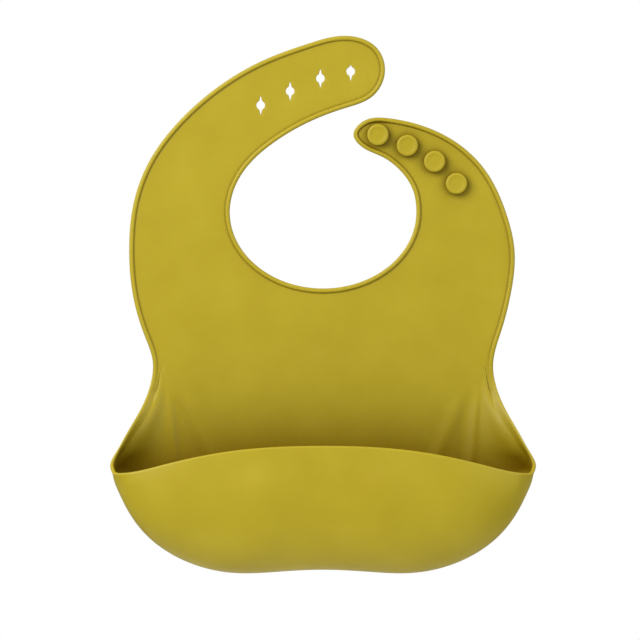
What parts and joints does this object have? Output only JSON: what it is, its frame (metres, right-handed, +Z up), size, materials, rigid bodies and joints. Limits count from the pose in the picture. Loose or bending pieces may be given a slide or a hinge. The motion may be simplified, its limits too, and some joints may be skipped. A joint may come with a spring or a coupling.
{
  "type": "silicone bib",
  "caption": "Moulded silicone baby bib with a catch pocket, a long strap with button holes and a short strap with studs.",
  "frame": {"origin": "centre of the neck opening on the flat back of the bib", "axes": "+Z up as worn, the front of the bib and its pocket face -Y, +X to the right seen from the front, towards the strap with the studs"},
  "size_m": [0.2372, 0.0462, 0.2998],
  "materials": {
    "chest": "satin",
    "strap": "satin",
    "rim": "satin",
    "pocket": "satin",
    "stud": "satin"
  },
  "bodies": {
    "bib_body": {"chest_panel": "chest", "neckline_rim": "rim", "left_side_rim": "rim", "right_side_rim": "rim", "left_gusset": "pocket", "right_gusset": "pocket", "pocket_floor": "pocket"},
    "hole_strap_base": {"hole_strap_lower": "strap", "hole_strap_lower_rim": "rim"},
    "hole_strap_bend": {"hole_strap_middle": "strap", "hole_strap_middle_rim": "rim"},
    "hole_strap_end": {"hole_strap_tip": "strap", "hole_strap_tip_rim": "rim"},
    "stud_strap_base": {"stud_strap_lower": "strap", "stud_strap_lower_rim": "rim"},
    "stud_strap_end": {"stud_strap_tip": "strap", "stud_strap_tip_rim": "rim", "stud_1": "stud", "stud_2": "stud", "stud_3": "stud", "stud_4": "stud"},
    "pocket_wall": {"pocket_front": "pocket", "pocket_lip": "rim"}
  },
  "joints": [
    {"name": "hole_lower_bend", "type": "hinge", "parent": "bib_body", "child": "hole_strap_base", "pos_m": [-0.075, -0.001, -0.025], "axis": [-1, 0, 0], "range_deg": [-25, 45], "stiffness_Nm_per_rad": 0.08},
    {"name": "hole_middle_bend", "type": "hinge", "parent": "hole_strap_base", "child": "hole_strap_bend", "pos_m": [-0.078, -0.001, 0.009], "axis": [-0.988, 0, 0.1544], "range_deg": [-25, 45], "stiffness_Nm_per_rad": 0.06},
    {"name": "hole_tip_bend", "type": "hinge", "parent": "hole_strap_bend", "child": "hole_strap_end", "pos_m": [-0.049, -0.001, 0.051], "axis": [-0.6912, 0, 0.7226], "range_deg": [-12.5, 22.5], "stiffness_Nm_per_rad": 0.06},
    {"name": "stud_lower_bend", "type": "hinge", "parent": "bib_body", "child": "stud_strap_base", "pos_m": [0.075, -0.001, -0.025], "axis": [-1, 0, 0], "range_deg": [-25, 45], "stiffness_Nm_per_rad": 0.08},
    {"name": "stud_tip_bend", "type": "hinge", "parent": "stud_strap_base", "child": "stud_strap_end", "pos_m": [0.078, -0.001, 0.0015], "axis": [-0.9941, 0, -0.1087], "range_deg": [-25, 45], "stiffness_Nm_per_rad": 0.06},
    {"name": "pocket_flex", "type": "hinge", "parent": "bib_body", "child": "pocket_wall", "pos_m": [0, -0.0125, -0.2013], "axis": [1, 0, 0], "range_deg": [-15, 20], "stiffness_Nm_per_rad": 0.5, "deforming": ["left_gusset", "right_gusset", "pocket_floor"]}
  ],
  "couplings": [
    {"joint": "hole_middle_bend", "follows": "hole_lower_bend", "ratio": 1},
    {"joint": "hole_tip_bend", "follows": "hole_lower_bend", "ratio": 0.5},
    {"joint": "stud_tip_bend", "follows": "stud_lower_bend", "ratio": 1}
  ]
}
